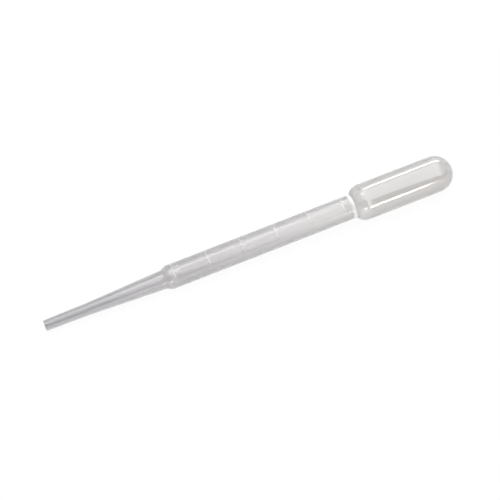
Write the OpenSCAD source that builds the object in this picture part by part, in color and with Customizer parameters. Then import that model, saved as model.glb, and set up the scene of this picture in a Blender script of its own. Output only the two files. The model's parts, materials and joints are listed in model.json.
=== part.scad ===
// Graduated dropper pipette: a fine tip, a barrel with volume marks and a squeeze
// bulb, blow moulded as one hollow piece. It lies on its step and its bulb, with its
// axis along X, the bulb towards +X and the marks on top.

/* [Tip] */
// Outer diameter at the mouth
tip_d = 3.7; // [3.4:0.1:3.9]
// Bore diameter of the tip
tip_bore_d = 2; // [1:0.1:2.4]
// Length of the nearly straight tip
tip_l = 15.5; // [8:0.5:30]
// Outer diameter where the tip runs into the cone
tip_end_d = 4.14; // [4:0.02:5]
// Rounding of the mouth's outer edge
rim_round = 0.25; // [0.1:0.05:0.4]

/* [Cone] */
// Length of the cone, with the step at its wide end
cone_l = 29.4; // [15:0.1:50]
// Height of the step from the cone up to the barrel
step_h = 0.85; // [0.5:0.05:1.2]
// Radius of the rounded step
step_round = 2.9; // [1.5:0.1:3.2]

/* [Barrel] */
// Outer diameter of the barrel
barrel_d = 8.45; // [8:0.05:10]
// Wall thickness of the barrel and of the cone's wide end
barrel_wall = 0.65; // [0.4:0.05:0.9]
// Length of the barrel from the step to the neck
barrel_l = 67.5; // [40:0.5:110]
// Width of the bead round the neck
bead_w = 0.85; // [0.5:0.05:1.5]
// Height of the bead above the barrel
bead_h = 0.12; // [0.05:0.01:0.25]

/* [Marks] */
// Volume between two marks, in cubic millimetres
mark_volume = 500; // [250:50:1000]
// Distance from the step to the first mark
mark_start = 1; // [0.5:0.1:12]
// Width of a mark along the barrel
mark_w = 0.5; // [0.3:0.05:1]
// Height of a mark above the barrel
mark_h = 0.15; // [0.05:0.01:0.25]
// Arc of a mark round the barrel, in degrees
mark_arc = 84; // [30:2:180]

/* [Bulb] */
// Outer diameter of the bulb
bulb_d = 12.9; // [11:0.1:16]
// Wall thickness of the bulb
bulb_wall = 0.4; // [0.3:0.05:0.8]
// Length of the bulb from the neck to its round end
bulb_l = 37.6; // [25:0.1:60]
// Radius of the rounded shoulder
shoulder_round = 4.6; // [2:0.1:5.2]

/* [Rest] */
// Depth of the small flat spots where the soft wall lies on the ground
flat_h = 0.05; // [0.03:0.01:0.1]

/* [Hidden] */
$fn = 96;

tip_r = tip_d / 2;
tip_bore_r = tip_bore_d / 2;
tip_end_r = tip_end_d / 2;
barrel_r = barrel_d / 2;
cone_r = barrel_r - step_h;
bulb_r = bulb_d / 2;

// Centre lines of the step's and the shoulder's round, off the axis
step_c = barrel_r - step_round;
shoulder_c = bulb_r - shoulder_round;

// Stations along the axis, measured from the mouth
barrel_x = tip_l + cone_l;
neck_x = barrel_x + barrel_l;
dome_x = neck_x + bulb_l - bulb_r;

// The shoulder's round rises out of the barrel at the neck and meets the bulb here
shoulder_rise = max(barrel_r - shoulder_c, 0);
shoulder_x = neck_x + sqrt(pow(shoulder_round, 2) - pow(shoulder_rise, 2));

// The bead stands half its width clear of the shoulder
bead_x = neck_x - bead_w;

// Marks stand one volume step of the bore apart, as far as the barrel has room
mark_pitch = mark_volume / (PI * pow(barrel_r - barrel_wall, 2));
first_mark_x = barrel_x + mark_start;
last_mark_x = bead_x - bead_w - mark_w;

// How far a ridge is sunk into the wall
ridge_root = 0.1;
// How far the bore's cut runs out past the mouth
bore_overrun = 1;

// Tilt at which the shoulder and another round end, further down, touch the ground
function tilt_on(at, centre, round) =
    atan2(shoulder_c - centre, shoulder_x - at)
    + asin((shoulder_round - round) / norm([shoulder_x - at, shoulder_c - centre]));

// The pipette lies on its shoulder and its step, or on its mouth if that is lower,
// and sinks in by the flat spots' depth
step_tilt = tilt_on(barrel_x, step_c, step_round);
mouth_tilt = tilt_on(rim_round, tip_r - rim_round, rim_round);
rest_tilt = min(step_tilt, mouth_tilt);
mouth_z = shoulder_round - flat_h
    + shoulder_c * cos(rest_tilt) - shoulder_x * sin(rest_tilt);

// Ends of the lying pipette along X, which put the origin under its middle
mouth_end = rim_round * (cos(rest_tilt) - 1) - (tip_r - rim_round) * sin(rest_tilt);
dome_end = dome_x * cos(rest_tilt) + bulb_r;

// Rounded start of a wider stretch: a disc as wide as the round's centre line, with
// a quarter round outside it
module rounded_start(centre, at, r) {
    if (centre > 0) translate([0, at - r]) square([centre, r]);
    intersection() {
        translate([centre, at]) circle(r);
        translate([max(centre, 0), at - r]) square([min(centre + r, r), r]);
    }
}

// Half profile, radius on X and distance from the mouth on Y. The walls move the
// barrel's and the bulb's stretch inwards.
module half_profile(start, mouth, tip_end, cone, barrel_inset, bulb_inset) {
    barrel = barrel_r - barrel_inset;
    bulb = bulb_r - bulb_inset;
    polygon([
        [0, start],
        [mouth, start],
        [tip_end, tip_l],
        [cone, barrel_x],
        [barrel, barrel_x],
        [barrel, shoulder_x],
        [bulb, shoulder_x],
        [bulb, dome_x],
        [0, dome_x]
    ]);
    rounded_start(step_c, barrel_x, step_round - barrel_inset);
    rounded_start(shoulder_c, shoulder_x, shoulder_round - bulb_inset);
    intersection() {
        translate([0, dome_x]) circle(bulb);
        translate([0, dome_x - bulb]) square([bulb, 2 * bulb]);
    }
}

// The mouth's flat face and its rounded outer edge
module rim() {
    flat = tip_r - rim_round;
    square([flat, 2 * rim_round]);
    translate([flat, rim_round]) circle(rim_round);
}

// Section of a low ridge on the barrel: the top of a circle, w wide and h high
module ridge(at, w, h) {
    r = (pow(w / 2, 2) + pow(h, 2)) / (2 * h);
    intersection() {
        translate([barrel_r + h - r, at]) circle(r);
        translate([barrel_r - ridge_root, at - r]) square(2 * r);
    }
}

// The turned wall, with its seam line at the side
module shell() {
    rotate([0, 0, 90])
    rotate_extrude() difference() {
        union() {
            half_profile(rim_round, tip_r, tip_end_r, cone_r, 0, 0);
            rim();
            ridge(bead_x, bead_w, bead_h);
        }
        half_profile(-bore_overrun, tip_bore_r, tip_bore_r, cone_r - barrel_wall,
            barrel_wall, bulb_wall);
    }
}

module mark(at) {
    rotate([0, 0, 180 - mark_arc / 2])
        rotate_extrude(angle = mark_arc)
            ridge(at, mark_w, mark_h);
}

// What lies below the ground, which the flat spots lose
module ground() {
    translate([-dome_end, -bulb_d, -bulb_d]) cube([2 * dome_end, 2 * bulb_d, bulb_d]);
}

module pipette() {
    color("gainsboro")
    difference() {
        translate([-(mouth_end + dome_end) / 2, 0, mouth_z])
        rotate([0, 90 - rest_tilt, 0]) {
            shell();
            for (at = [first_mark_x : mark_pitch : last_mark_x]) mark(at);
        }
        ground();
    }
}

pipette();
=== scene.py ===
import json
import math

import bpy
import numpy as np
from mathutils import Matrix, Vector


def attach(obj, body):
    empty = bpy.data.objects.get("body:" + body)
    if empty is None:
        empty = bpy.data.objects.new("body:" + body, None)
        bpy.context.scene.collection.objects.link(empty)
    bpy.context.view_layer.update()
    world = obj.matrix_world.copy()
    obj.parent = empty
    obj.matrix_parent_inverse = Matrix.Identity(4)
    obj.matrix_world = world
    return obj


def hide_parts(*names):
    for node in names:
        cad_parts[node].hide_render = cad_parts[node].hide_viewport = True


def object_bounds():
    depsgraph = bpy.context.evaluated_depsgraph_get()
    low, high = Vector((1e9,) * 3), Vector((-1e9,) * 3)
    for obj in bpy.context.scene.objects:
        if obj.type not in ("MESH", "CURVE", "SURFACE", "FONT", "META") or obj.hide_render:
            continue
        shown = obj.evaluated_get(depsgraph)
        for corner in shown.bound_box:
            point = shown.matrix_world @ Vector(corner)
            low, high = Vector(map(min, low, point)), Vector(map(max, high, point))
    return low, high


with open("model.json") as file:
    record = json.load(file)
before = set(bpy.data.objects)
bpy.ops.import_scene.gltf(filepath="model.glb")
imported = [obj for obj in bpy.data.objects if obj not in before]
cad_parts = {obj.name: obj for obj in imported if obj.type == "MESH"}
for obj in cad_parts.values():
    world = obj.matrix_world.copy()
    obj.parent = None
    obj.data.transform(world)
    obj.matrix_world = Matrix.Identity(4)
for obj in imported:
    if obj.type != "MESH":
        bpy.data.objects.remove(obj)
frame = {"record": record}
cadLow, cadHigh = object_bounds()
scene = bpy.context.scene
mm = 0.001
print("frame loaded")


# The tube's own line, from the record
tipBore = next(m for m in frame["record"]["mounts"] if m["name"] == "tip_bore")
tubeWay = -np.array(tipBore["axis"])  # from the mouth towards the bulb
tubeWay /= np.linalg.norm(tubeWay)
tubeSide = np.array([0.0, 1.0, 0.0])
tubeTop = np.cross(tubeWay, tubeSide)
mouthPoint = np.array(tipBore["pos_m"]) - tubeWay * tipBore["dims"]["length_mm"] * mm / 2


# Angles in degrees, places in metres, and the lens and its film in millimetres
cameraView = {
    "azimuth": -23.27,
    "elevation": 60.0,
    "distance": 0.520,
    "lens": 110.4,
    "film": 36.0,
    "clip": (0.01, 20.0),
    "aimHeight": 0.005,
    "aimRight": -0.00095,
    "aimUp": -0.00167,
}


def placeCamera(name, view):
    # Back points from the aim to the camera: (sin a cos e, -cos a cos e, sin e)
    a, e = math.radians(view["azimuth"]), math.radians(view["elevation"])
    back = Vector((math.sin(a) * math.cos(e), -math.cos(a) * math.cos(e), math.sin(e)))
    right = Vector((0, 0, 1)).cross(back).normalized()
    up = back.cross(right)
    aim = Vector((0, 0, view["aimHeight"])) + right * view["aimRight"] + up * view["aimUp"]
    data = bpy.data.cameras.new(name)
    data.sensor_width = view["film"]
    data.lens = view["lens"]
    data.clip_start, data.clip_end = view["clip"]
    camera = bpy.data.objects.new(name, data)
    camera.rotation_mode = "QUATERNION"
    camera.location = aim + back * view["distance"]
    camera.rotation_quaternion = (-back).to_track_quat("-Z", "Y")
    scene.collection.objects.link(camera)
    return camera


scene.camera = placeCamera("studioCamera", cameraView)
scene.view_settings.view_transform = "Standard"
print("camera placed")


def newMaterial(name):
    # An empty node material and its tree
    material = bpy.data.materials.new(name)
    material.use_nodes = True
    material.node_tree.nodes.clear()
    return material, material.node_tree


def addNode(tree, kind, inputs=None, **settings):
    # A node with its settings, and its inputs given as values or as sockets to link
    node = tree.nodes.new(kind)
    for key, value in settings.items():
        setattr(node, key, value)
    for key, value in (inputs or {}).items():
        if isinstance(value, bpy.types.NodeSocket):
            tree.links.new(value, node.inputs[key])
        else:
            node.inputs[key].default_value = value
    return node


def addMath(tree, operation, *values):
    # The result of one operation on numbers or sockets
    return addNode(
        tree, "ShaderNodeMath", dict(enumerate(values)), operation=operation).outputs[0]


def addMix(tree, factor, first, second):
    # First colour at factor 0 and second at factor 1, each a socket or plain values
    first, second = (
        colour if isinstance(colour, bpy.types.NodeSocket) else (*colour, 1)
        for colour in (first, second)
    )
    return addNode(
        tree, "ShaderNodeMix", {0: factor, 6: first, 7: second}, data_type="RGBA").outputs[2]


def addRange(tree, value, low, high, toLow=0, toHigh=1, **settings):
    # The value carried from between low and high to between toLow and toHigh
    return addNode(tree, "ShaderNodeMapRange", {
        "Value": value, "From Min": low, "From Max": high,
        "To Min": toLow, "To Max": toHigh,
    }, **settings).outputs[0]


def addRamp(tree, factor, stops):
    # Colour ramp through (position, colour) stops
    node = tree.nodes.new("ShaderNodeValToRGB")
    tree.links.new(factor, node.inputs[0])
    elements = node.color_ramp.elements
    elements[0].position, elements[0].color = stops[0][0], (*stops[0][1], 1)
    elements[1].position, elements[1].color = stops[-1][0], (*stops[-1][1], 1)
    for position, colour in stops[1:-1]:
        elements.new(position).color = (*colour, 1)
    return node.outputs[0]


studio = {
    # Brightness round the tube, by angle in degrees from the near horizon over the top:
    # the big light, and the dark stretch below its near edge
    "lightBands": [(0, 2.2), (122, 2.2), (138, 1.1), (150, 0.7)],
    "darkBands": [(0, 0.06), (90, 0.06)],
    "brightest": 2.2,
    # The pale ring along the horizon: where its soft upper edge starts and ends, as the
    # Z of a direction, and its brightness
    "horizonTop": (0.165, 0.21),
    "horizonLight": 1.0,
    # The low far side: how much of it shows at an angle, and its brightness by the
    # direction's share along the tube
    "farMask": [(134, 0), (146, 1)],
    "farBands": [(-0.3, 1.0), (-0.1, 0.1), (-0.03, 0.05), (0.04, 0.3), (0.21, 0.9), (0.3, 1.4)],
    # Angle of the big light's near edge, by the same share
    "nearEdge": [
        (-0.02, 72), (0.0, 64), (0.03, 54), (0.08, 58), (0.12, 62), (0.138, 43), (0.157, 36),
        (0.193, 25), (0.227, 14), (0.242, 10), (0.2475, 58), (0.277, 54), (0.3, 42),
    ],
    "edgeSoftness": 1.5,
    # How much of the light is left, by the same share: most a little towards the bulb
    "reach": [
        (-0.9, 0.4), (-0.4, 0.42), (-0.1, 0.76), (0.12, 0.8), (0.2, 1.0), (0.3, 1.0),
        (0.65, 0.3),
    ],
    # Long lamps: angle and width in degrees, ends along the tube in metres, radiance
    "stripDistance": 1.2,
    "strips": {
        "farStrip": {
            "angle": 143, "width": 9, "from": 0.33, "to": 1.0, "strength": 8.5,
            "colour": (1, 1, 1),
        },
        "middleStrip": {
            "angle": 138, "width": 9, "from": 0.265, "to": 0.33, "strength": 3.5,
            "colour": (1, 1, 1),
        },
        "highStrip": {
            "angle": 111, "width": 14, "from": -0.3, "to": 0.27, "strength": 1.6,
            "colour": (1, 1, 1),
        },
        "tipStrip": {
            "angle": 12, "width": 24, "from": -0.13, "to": -0.03, "strength": 1.5,
            "colour": (1, 1, 1),
        },
        "leftStrip": {
            "angle": 14, "width": 10, "from": -0.7, "to": -0.13, "strength": 5.0,
            "colour": (1, 0.96, 0.92),
        },
        "nearStrip": {
            "angle": 15, "width": 11, "from": 0.315, "to": 0.419, "strength": 9.0,
            "colour": (1, 0.93, 0.86),
        },
    },
    "floorSize": 6.0,
    "floorColour": (0.9, 0.9, 0.9),
    "floorGlow": 1.02,
    "floorGlowShare": 0.88,
}


def lightDome(settings):
    # World whose brightness goes by the angle round the tube's axis. Its near edge is a
    # smooth step from the dark bands to the light ones, at an angle that changes along
    # the tube. The low far side has its own brightness along the tube, and a pale ring
    # lies along the whole horizon
    world = bpy.data.worlds.new("softDome")
    world.use_nodes = True
    tree = world.node_tree
    tree.nodes.clear()
    way = addNode(tree, "ShaderNodeTexCoord").outputs["Generated"]
    parts = addNode(tree, "ShaderNodeSeparateXYZ", {"Vector": way}).outputs
    near = addMath(tree, "MULTIPLY", parts["Y"], -1.0)
    angle = addMath(tree, "ARCTAN2", parts["Z"], near)
    share = addMath(tree, "DIVIDE", angle, math.pi)
    top = settings["brightest"]
    light, dark = (
        addRamp(tree, share, [(a / 180, (v / top,) * 3) for a, v in settings[bands]])
        for bands in ("lightBands", "darkBands")
    )
    lengthwise = addNode(
        tree, "ShaderNodeVectorMath", {0: way, 1: tubeWay}, operation="DOT_PRODUCT")
    # From -1 to 1 along the tube, carried to 0 to 1 for the ramps
    lengthwise = addMath(tree, "MULTIPLY_ADD", lengthwise.outputs["Value"], 0.5, 0.5)
    edge, reach, far = (
        addRamp(tree, lengthwise, [((x + 1) / 2, (v / whole,) * 3) for x, v in settings[key]])
        for key, whole in (("nearEdge", 180), ("reach", 1), ("farBands", top))
    )
    farMask = addRamp(tree, share, [(a / 180, (v,) * 3) for a, v in settings["farMask"]])
    soft = settings["edgeSoftness"] / 180
    above = addRange(
        tree, share, addMath(tree, "SUBTRACT", edge, soft), addMath(tree, "ADD", edge, soft),
        interpolation_type="SMOOTHSTEP")
    bands = addMix(tree, above, dark, addMix(tree, reach, (0.0, 0.0, 0.0), light))
    bands = addMix(tree, farMask, bands, far)
    low, high = settings["horizonTop"]
    ring = addRange(tree, parts["Z"], high, low, interpolation_type="SMOOTHSTEP")
    bands = addMix(tree, ring, bands, (settings["horizonLight"] / top,) * 3)
    light = addNode(tree, "ShaderNodeBackground", {"Color": bands, "Strength": top})
    addNode(tree, "ShaderNodeOutputWorld", {"Surface": light.outputs[0]})
    scene.world = world


def addStrip(name, strip, distance):
    # Long lamp beside the tube, in the direction (0, -cos a, sin a) for the angle a from
    # the near horizon over the top, and from one place to another along X
    a = math.radians(strip["angle"])
    width = 2 * distance * math.tan(math.radians(strip["width"] / 2))
    length = strip["to"] - strip["from"]
    data = bpy.data.lights.new(name, "AREA")
    data.shape = "RECTANGLE"
    data.size, data.size_y = length, width
    data.color = strip["colour"]
    data.energy = strip["strength"] * math.pi * length * width  # radiance to watts
    lamp = bpy.data.objects.new(name, data)
    away = Vector((0, -math.cos(a), math.sin(a)))
    lamp.rotation_mode = "QUATERNION"
    lamp.location = away * distance + Vector(((strip["from"] + strip["to"]) / 2, 0, 0))
    lamp.rotation_quaternion = away.to_track_quat("Z", "Y")
    scene.collection.objects.link(lamp)


def makeFloor(settings):
    # Square at height 0, a little brighter to the eye than the light makes it
    half = settings["floorSize"] / 2
    mesh = bpy.data.meshes.new("floor")
    mesh.from_pydata(
        [(-half, -half, 0), (half, -half, 0), (half, half, 0), (-half, half, 0)],
        [], [(0, 1, 2, 3)],
    )
    floor = bpy.data.objects.new("floor", mesh)
    scene.collection.objects.link(floor)
    material, tree = newMaterial("paleFloor")
    rays = addNode(tree, "ShaderNodeLightPath").outputs
    seen = addMath(tree, "MAXIMUM", rays["Is Camera Ray"], rays["Is Glossy Ray"])
    seen = addMath(tree, "MAXIMUM", seen, rays["Is Transmission Ray"])
    share = addMath(tree, "MULTIPLY", seen, settings["floorGlowShare"])
    matt = addNode(tree, "ShaderNodeBsdfDiffuse", {"Color": (*settings["floorColour"], 1)})
    glow = addNode(tree, "ShaderNodeEmission", {
        "Color": (1, 1, 1, 1), "Strength": settings["floorGlow"],
    })
    both = addNode(tree, "ShaderNodeMixShader", {"Fac": share})
    tree.links.new(matt.outputs[0], both.inputs[1])
    tree.links.new(glow.outputs[0], both.inputs[2])
    addNode(tree, "ShaderNodeOutputMaterial", {"Surface": both.outputs[0]})
    mesh.materials.append(material)


lightDome(studio)
for stripName, strip in studio["strips"].items():
    addStrip(stripName, strip, studio["stripDistance"])
makeFloor(studio)
print("studio lit")


# Sizes in millimetres and angles in degrees: the solid's walls, with a rounder rim, soft
# corners, lower marks and the numbers
pipette = {
    "tipRadius": 1.85,
    "boreRadius": 1.0,
    "tipLength": 15.5,
    "tipEndRadius": 2.07,
    "rimRound": 0.45,
    "mouthRound": 0.1,
    "coneRadius": 3.375,
    "barrelStart": 44.9,
    "stepRound": 2.9,
    "cornerBlend": 0.65,
    "barrelRadius": 4.225,
    "barrelWall": 0.65,
    "neck": 112.4,
    "beadWidth": 0.85,
    "beadHeight": 0.12,
    "bulbRadius": 6.45,
    "bulbWall": 0.4,
    "length": 150.0,
    "shoulderRound": 4.6,
    "markVolume": 500.0,  # of the bore, in cubic millimetres, from one mark to the next
    "markStart": 1.0,
    "markCount": 6,
    "markWidth": 0.8,
    "markHeight": 0.018,
    "markArc": 84.0,
    "markEnd": 2.0,  # the soft end of each, as an angle
    "numberGap": 0.45,
    "numberHeight": 1.75,
    "numberStroke": 0.2,
    "numberRelief": 0.03,
    # A digit's and a point's advance and the gap between two, as shares of the height
    "digitAdvance": 0.78,
    "pointAdvance": 0.3,
    "digitGap": 0.18,
    # Where the mesh's rings are closer, how far apart they lie along each wall, and how
    # many lie on a round
    "stepReach": 2.4,
    "beadReach": 0.6,
    "markReach": 0.33,
    "outerSpacing": {
        "tip": 1.0, "step": 0.12, "afterStep": 0.3, "barrel": 0.9, "bead": 0.06,
        "afterShoulder": 1.2, "bulb": 1.5, "mark": 0.055, "number": 0.08,
    },
    "innerSpacing": {
        "tip": 1.2, "step": 0.15, "afterStep": 1.0, "barrel": 2.0, "shoulder": 0.2,
        "bulb": 1.5,
    },
    "shoulderRings": 18,
    "outerDomeRings": 26,
    "innerDomeRings": 24,
    "domeLast": 88.0,
    "rimRings": 6,
    "leastGap": 0.03,
    # Round the tube: where the points across the numbers and the marks end, the angle
    # between them, and the gap and the count of the rest
    "numberSpan": 24.0,
    "numberTurn": 1.1,
    "numberMargin": 2.0,
    "markTurn": 1.6,
    "markMargin": 3.0,
    "restGap": 3.5,
    "restCount": 74,
}


def softMax(a, b, blend):
    # The larger of the two, raised by (blend - |a - b|)^2 / (4 blend) where they are close
    near = np.maximum(blend - np.abs(a - b), 0)
    return np.maximum(a, b) + near ** 2 / (4 * blend)


def shoulderAndDome(p):
    # The shoulder's round is a circle about a line at shoulderCentre from the axis. It
    # leaves the barrel where it is rise above that line, ends square to the axis at
    # shoulderEnd, and the dome's circle has its centre at domeCentre
    shoulderCentre = p["bulbRadius"] - p["shoulderRound"]
    rise = p["barrelRadius"] - shoulderCentre
    shoulderEnd = p["neck"] + math.sqrt(p["shoulderRound"] ** 2 - rise ** 2)
    return shoulderCentre, rise, shoulderEnd, p["length"] - p["bulbRadius"]


def wallRadius(d, p, wall):
    # Radius at distance d from the mouth. The tip and cone are straight lines, the step
    # and the shoulder are circles about a centre line, and the dome is a half circle.
    # The inner wall is the same with each circle and cylinder smaller by the wall, and
    # the step and the shoulder start with a small soft corner
    inner = wall == "inner"
    barrelIn = p["barrelWall"] if inner else 0.0
    bulbIn = p["bulbWall"] if inner else 0.0
    start = p["boreRadius"] if inner else p["tipRadius"]
    tipEnd = p["boreRadius"] if inner else p["tipEndRadius"]
    stepCentre = p["barrelRadius"] - p["stepRound"]
    shoulderCentre, _, shoulderEnd, domeCentre = shoulderAndDome(p)
    cone = np.interp(
        d,
        [0, p["tipLength"], p["barrelStart"]],
        [start, tipEnd, p["coneRadius"] - barrelIn],
    )
    stepR = p["stepRound"] - barrelIn
    step = stepCentre + np.sqrt(np.maximum(stepR ** 2 - (p["barrelStart"] - d) ** 2, 0))
    step = np.where(d > p["barrelStart"] - stepR, step, 0)
    front = softMax(cone, step, p["cornerBlend"])
    shoulderR = p["shoulderRound"] - bulbIn
    shoulder = shoulderCentre + np.sqrt(np.maximum(shoulderR ** 2 - (shoulderEnd - d) ** 2, 0))
    shoulder = np.where(d > shoulderEnd - shoulderR, shoulder, 0)
    middle = softMax(p["barrelRadius"] - barrelIn, shoulder, p["cornerBlend"])
    bulbR = p["bulbRadius"] - bulbIn
    dome = np.sqrt(np.maximum(bulbR ** 2 - np.maximum(d - domeCentre, 0) ** 2, 0))
    return np.where(
        d <= p["barrelStart"], front, np.where(d < shoulderEnd, middle, dome)
    )


def markPlaces(p):
    # Marks stand one volume step of the bore apart: volume / (pi * bore radius^2)
    pitch = p["markVolume"] / (math.pi * (p["barrelRadius"] - p["barrelWall"]) ** 2)
    return p["barrelStart"] + p["markStart"] + pitch * np.arange(p["markCount"])


def beadPlace(p):
    # The bead's middle stands its own width before the neck
    return p["neck"] - p["beadWidth"]


def arcPoints(cx, cy, rx, ry, fromDeg, toDeg, count=9):
    # Points (cx + rx cos t, cy + ry sin t) at even angles t
    t = np.radians(np.linspace(fromDeg, toDeg, count))
    return np.stack([cx + rx * np.cos(t), cy + ry * np.sin(t)], 1)


def digitStrokes():
    # Each character's strokes as rows of (across, up) points, in a cell 0.6 wide and 1 high
    return {
        "0": [arcPoints(0.3, 0.5, 0.25, 0.45, 0, 360, 17)],
        "1": [np.array([(0.12, 0.78), (0.32, 0.95), (0.32, 0.05)])],
        "2": [np.concatenate([
            arcPoints(0.3, 0.7, 0.24, 0.25, 165, -40),
            [(0.07, 0.05), (0.55, 0.05)],
        ])],
        "3": [np.concatenate([
            arcPoints(0.28, 0.73, 0.22, 0.22, 150, -80),
            arcPoints(0.28, 0.28, 0.26, 0.24, 85, -150),
        ])],
        "5": [np.concatenate([
            [(0.5, 0.95), (0.14, 0.95), (0.1, 0.55)],
            arcPoints(0.28, 0.33, 0.25, 0.28, 130, -145),
        ])],
        ".": [np.array([(0.12, 0.05), (0.12, 0.08)])],
    }


def labelStrokes(text, p):
    # The strokes of a whole label in millimetres, side by side and centred across
    shapes = digitStrokes()
    x, strokes = 0.0, []
    for letter in text:
        strokes += [stroke + (x, 0) for stroke in shapes[letter]]
        x += p["pointAdvance"] if letter == "." else p["digitAdvance"]
    width = x - p["digitGap"]
    return [(stroke - (width / 2, 0)) * p["numberHeight"] for stroke in strokes]


def strokeHeight(x, y, strokes, half):
    # Relief of round-topped strokes: (1 + cos(pi t)) / 2, with t the distance to the
    # nearest stroke over its half width
    nearest = np.full(np.broadcast(x, y).shape, np.inf)
    for stroke in strokes:
        for (ax, ay), (bx, by) in zip(stroke[:-1], stroke[1:]):
            dx, dy = bx - ax, by - ay
            t = np.clip(((x - ax) * dx + (y - ay) * dy) / (dx * dx + dy * dy), 0, 1)
            nearest = np.minimum(nearest, np.hypot(x - ax - t * dx, y - ay - t * dy))
    return (1 + np.cos(math.pi * np.minimum(nearest / half, 1))) / 2


def joinStations(stretches, p):
    # All stretches in one rising row, without places closer than the least gap
    stations = np.unique(np.round(np.concatenate(stretches), 3))
    return stations[np.concatenate([[True], np.diff(stations) > p["leastGap"]])]


def domeStations(centre, radius, rings, p):
    # Centre + radius * sin of even angles, almost to the pole
    return centre + radius * np.sin(np.radians(np.linspace(0, p["domeLast"], rings)))


def outerStations(p):
    # Distances from the mouth at which the outer wall has a ring of points
    _, rise, shoulderEnd, domeCentre = shoulderAndDome(p)
    start, bead, space = p["barrelStart"], beadPlace(p), p["outerSpacing"]
    shoulderTurn = math.acos(rise / p["shoulderRound"])
    stretches = [
        np.arange(p["rimRound"], start - p["stepReach"], space["tip"]),
        np.append(np.arange(start - p["stepReach"], start, space["step"]), start),
        np.arange(start + space["afterStep"], bead - p["beadReach"], space["barrel"]),
        np.arange(bead - p["beadReach"], p["neck"], space["bead"]),
        shoulderEnd - p["shoulderRound"] * np.sin(
            np.linspace(shoulderTurn, 0, p["shoulderRings"])),
        np.arange(shoulderEnd + space["afterShoulder"], domeCentre, space["bulb"]),
        domeStations(domeCentre, p["bulbRadius"], p["outerDomeRings"], p),
    ]
    for at in markPlaces(p):
        side = np.arange(space["mark"], p["markReach"] + space["mark"] / 2, space["mark"])
        stretches.append(at + np.concatenate([-side[::-1], [0], side]))
        first, last = p["numberGap"], p["numberGap"] + p["numberHeight"]
        stretches.append(at + np.arange(
            first - p["numberStroke"], last + p["numberStroke"], space["number"]))
    return joinStations(stretches, p)


def innerStations(p):
    # The same for the inner wall, which is plain and needs fewer
    _, _, shoulderEnd, domeCentre = shoulderAndDome(p)
    start, space = p["barrelStart"], p["innerSpacing"]
    return joinStations([
        np.arange(p["mouthRound"], start - p["stepReach"], space["tip"]),
        np.append(np.arange(start - p["stepReach"], start, space["step"]), start),
        np.arange(start + space["afterStep"], p["neck"], space["barrel"]),
        np.arange(p["neck"], shoulderEnd, space["shoulder"]),
        np.arange(shoulderEnd, domeCentre, space["bulb"]),
        domeStations(domeCentre, p["bulbRadius"] - p["bulbWall"], p["innerDomeRings"], p),
    ], p)


def roundAngles(p):
    # Angles from the top, positive towards +Y: finest across the numbers, fine across
    # the marks
    span = p["numberSpan"]
    fine = np.arange(-span, span, p["numberTurn"])
    marks = np.arange(
        span + p["numberMargin"], p["markArc"] / 2 + p["markMargin"], p["markTurn"])
    first = marks[-1] + p["restGap"]
    rest = np.linspace(first, 360 - first, p["restCount"])
    return np.radians(np.concatenate([fine, marks, rest, 360 - marks[::-1]]))


def shellRings(p):
    # Rings from the dome's end along the outer wall, over the rim and back inside to the
    # dome: distance from the mouth and radius of each, how many are on the outer wall and
    # which is the first on the inner one. The rim and the mouth's edge are quarter circles,
    # round * (1 - sin t) and round * (1 - cos t)
    outerD = outerStations(p)[::-1]
    outerR = wallRadius(outerD, p, "outer")
    turn = np.radians(np.linspace(0, 90, p["rimRings"] + 1)[1:])
    rimD = p["rimRound"] * (1 - np.sin(turn))
    rimR = p["tipRadius"] - p["rimRound"] * (1 - np.cos(turn))
    lipD = p["mouthRound"] * (1 - np.cos(turn[:-1]))
    lipR = p["boreRadius"] + p["mouthRound"] * (1 - np.sin(turn[:-1]))
    innerD = innerStations(p)
    innerR = wallRadius(innerD, p, "inner")
    d = np.concatenate([outerD, rimD, lipD, innerD])
    r = np.concatenate([outerR, rimR, lipR, innerR])
    return d, r, len(outerD), len(d) - len(innerD)


def reliefOf(d, angle, p):
    # Height of the marks, the neck's bead and the numbers above the outer wall: marks
    # (1 + cos(pi t)) / 2 across, with soft ends, and the bead 1 - t^2
    arc = np.degrees(np.arctan2(np.sin(angle), np.cos(angle)))
    height = np.zeros((len(d), len(angle)))
    ends = np.clip((p["markArc"] / 2 - np.abs(arc)) / p["markEnd"] + 0.5, 0, 1)
    ends = ends * ends * (3 - 2 * ends)
    for at in markPlaces(p):
        across = np.minimum(np.abs(d - at) / (p["markWidth"] / 2), 1)
        crown = (1 + np.cos(math.pi * across)) / 2
        height = np.maximum(height, p["markHeight"] * crown[:, None] * ends)
    crown = 1 - ((d - beadPlace(p)) / (p["beadWidth"] / 2)) ** 2
    height = np.maximum(height, p["beadHeight"] * np.maximum(crown, 0)[:, None])
    near = np.abs(arc) < p["numberSpan"]
    across = np.radians(arc[near]) * p["barrelRadius"]
    for index, at in enumerate(markPlaces(p)):
        # Whole steps are counted, as if one lay below the first mark
        millilitres = p["markVolume"] * (index + 1) / 1000
        foot = at + p["numberGap"]
        rows = np.abs(d - foot - p["numberHeight"] / 2) < p["numberHeight"]
        strokes = labelStrokes(f"{millilitres:g}", p)
        raised = strokeHeight(
            -across[None, :], (d[rows] - foot)[:, None], strokes, p["numberStroke"])
        block = np.ix_(rows, near)
        height[block] = np.maximum(height[block], p["numberRelief"] * raised)
    return height


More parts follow.
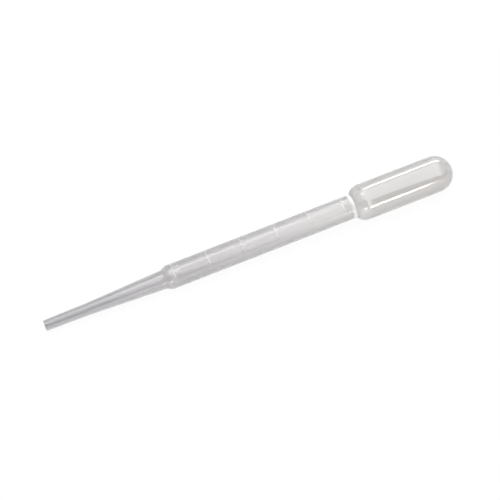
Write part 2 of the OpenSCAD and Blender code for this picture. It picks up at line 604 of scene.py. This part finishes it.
def makeShell(name, p):
    # Point = mouth + d * way + radius * (cos a * top + sin a * side), for each ring's
    # distance d and each angle a, kept between the floor and the solid's own top
    d, r, outerCount, innerFirst = shellRings(p)
    angle = roundAngles(p)
    radius = np.repeat(r[:, None], len(angle), 1)
    relief = np.zeros_like(radius)
    relief[:outerCount] = reliefOf(d[:outerCount], angle, p)
    radius += relief
    spoke = np.cos(angle)[:, None] * tubeTop + np.sin(angle)[:, None] * tubeSide
    points = mouthPoint + mm * (d[:, None, None] * tubeWay + radius[:, :, None] * spoke)
    innerEnd = p["length"] - p["bulbWall"]
    poles = mouthPoint + mm * np.array([[p["length"]], [innerEnd]]) * tubeWay
    verts = np.concatenate([poles[:1], points.reshape(-1, 3), poles[1:]])
    verts[:, 2] = np.clip(verts[:, 2], 0, cadHigh[2])
    verts[:, 0] = np.clip(verts[:, 0], cadLow[0], cadHigh[0])

    rows, cols = radius.shape
    ring = 1 + np.arange(rows * cols).reshape(rows, cols)
    after = np.roll(ring, -1, 1)
    quads = np.stack([ring[:-1], after[:-1], after[1:], ring[1:]], -1).reshape(-1, 4)
    last = rows * cols + 1
    startFan = np.stack([np.zeros(cols, int), after[0], ring[0]], -1)
    endFan = np.stack([np.full(cols, last), ring[-1], after[-1]], -1)
    mesh = bpy.data.meshes.new(name)
    mesh.from_pydata(verts, [], quads.tolist() + startFan.tolist() + endFan.tolist())
    mesh.update()
    inside = np.repeat(np.arange(rows) >= innerFirst, cols)
    # Raised is 1 on a mark's crest, and more on the numbers and the bead
    values = {
        "along": np.concatenate([[p["length"]], np.repeat(d, cols), [innerEnd]]) * mm,
        "inside": np.concatenate([[0], inside, [1]]),
        "raised": np.concatenate([[0], relief.reshape(-1) / p["markHeight"], [0]]),
    }
    for key, value in values.items():
        store = mesh.attributes.new(key, "FLOAT", "POINT")
        store.data.foreach_set("value", value.astype(np.float32))
    mesh.polygons.foreach_set("use_smooth", np.ones(len(mesh.polygons), bool))
    piece = bpy.data.objects.new(name, mesh)
    scene.collection.objects.link(piece)
    return piece


# Distances in millimetres
polythene = {
    # By distance from the mouth, as far as the neck: the plastic's colour with painted shade
    # and light, darker on the tip, lighter just before the step and lighter towards the neck
    "coloursWithPaintedShade": [
        (0.0, (0.648, 0.641, 0.662)),
        (14.0, (0.662, 0.654, 0.674)),
        (31.0, (0.74, 0.728, 0.741)),
        (41.0, (0.745, 0.733, 0.743)),
        (42.6, (0.79, 0.778, 0.786)),
        (44.6, (0.765, 0.753, 0.761)),
        (47.0, (0.743, 0.731, 0.74)),
        (112.4, (0.812, 0.8, 0.795)),
    ],
    # By distance from the neck: painted light, lighter on the shoulder and the dome
    "bulbColoursWithPaintedLight": [
        (2.5, (0.88, 0.866, 0.856)),
        (6.0, (0.79, 0.777, 0.767)),
        (30.0, (0.79, 0.777, 0.767)),
        (36.5, (0.885, 0.872, 0.862)),
    ],
    # Painted highlight: the raised marks and numbers are whitened to stand for the glints they
    # catch
    "raisedPaintedHighlight": (0.96, 0.95, 0.95),
    "ringColour": (0.87, 0.86, 0.86),
    "ringHalf": 0.6,
    "ringSoft": 0.15,
    "bulbTurn": 3.0,
    "barrelClear": 0.96,
    "bulbClear": 0.97,
    "raisedClear": 0.77,
    "ringClear": 0.0,
    "bulbRoughness": 0.08,
    "barrelRoughness": 0.28,
    "barrelInnerRoughness": 0.35,
    "bulbInnerRoughness": 0.4,
    "raisedRoughness": 0.2,
    "ior": 1.51,
    "shine": 0.6,
    "gloss": 1.0,
    "raisedGloss": 0.85,
    "glossRoughness": 0.06,
    "glossIor": 1.6,
    "density": 300.0,
    "clearness": (0.71, 0.71, 0.715),
    "shadowPass": (0.9, 0.9, 0.9),
}


def clearPolythene(name, look, p):
    # Clear where it is smooth, whiter where it is raised as a painted highlight, and white on
    # the neck's ring.
    # The inner wall is rough and has no gloss, the depth of the wall greys the light, and
    # a shadow ray passes with a small loss
    material, tree = newMaterial(name)
    along, inside, raised = (
        addNode(tree, "ShaderNodeAttribute", attribute_name=key).outputs["Fac"]
        for key in ("along", "inside", "raised")
    )

    def between(share, first, second):
        # First value at share 0 and second at share 1
        return addRange(tree, share, 0, 1, first, second)

    neck = p["neck"] * mm
    bulb = addRange(tree, along, neck, neck + look["bulbTurn"] * mm)
    outerRough = between(bulb, look["barrelRoughness"], look["bulbRoughness"])
    innerRough = between(bulb, look["barrelInnerRoughness"], look["bulbInnerRoughness"])
    rough = between(inside, outerRough, innerRough)
    rough = between(raised, rough, look["raisedRoughness"])
    gloss = between(inside, look["gloss"], 0)
    gloss = between(raised, gloss, look["raisedGloss"])
    offRing = addMath(tree, "ABSOLUTE", addMath(tree, "SUBTRACT", along, beadPlace(p) * mm))
    half, soft = look["ringHalf"] * mm, look["ringSoft"] * mm
    ring = addRange(tree, offRing, half + soft, half - soft)
    toNeck = addRange(tree, along, 0, neck)
    # The plastic's colour with painted shade and light along the tube
    colour = addRamp(tree, toNeck, [(d * mm / neck, c) for d, c in look["coloursWithPaintedShade"]])
    toEnd = addRange(tree, along, neck, p["length"] * mm)
    bulbLength = p["length"] - p["neck"]
    # The bulb's colour with painted light on the shoulder and the dome
    bulbColour = addRamp(tree, toEnd, [(d / bulbLength, c) for d, c in look["bulbColoursWithPaintedLight"]])
    colour = addMix(tree, bulb, colour, bulbColour)
    # Painted highlight whitens the raised marks and numbers
    colour = addMix(tree, raised, colour, look["raisedPaintedHighlight"])
    colour = addMix(tree, ring, colour, look["ringColour"])
    clear = between(bulb, look["barrelClear"], look["bulbClear"])
    clear = between(raised, clear, look["raisedClear"])
    clear = between(ring, clear, look["ringClear"])
    plastic = addNode(tree, "ShaderNodeBsdfPrincipled", {
        "Base Color": colour, "Roughness": rough, "IOR": look["ior"],
        "Transmission Weight": clear, "Specular IOR Level": look["shine"],
        "Coat Weight": gloss, "Coat Roughness": look["glossRoughness"],
        "Coat IOR": look["glossIor"],
    })
    pale = addNode(tree, "ShaderNodeBsdfTransparent", {"Color": (*look["shadowPass"], 1)})
    rays = addNode(tree, "ShaderNodeLightPath").outputs
    mixed = addNode(tree, "ShaderNodeMixShader", {"Fac": rays["Is Shadow Ray"]})
    tree.links.new(plastic.outputs[0], mixed.inputs[1])
    tree.links.new(pale.outputs[0], mixed.inputs[2])
    depth = addNode(tree, "ShaderNodeVolumeAbsorption", {
        "Color": (*look["clearness"], 1), "Density": look["density"],
    })
    addNode(tree, "ShaderNodeOutputMaterial", {
        "Surface": mixed.outputs[0], "Volume": depth.outputs[0],
    })
    return material


shell = makeShell("pipetteShell", pipette)
shell.data.materials.append(clearPolythene("translucentPolythene", polythene, pipette))
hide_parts("pipette")
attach(shell, "root")
print("shell made:", len(shell.data.polygons), "faces")
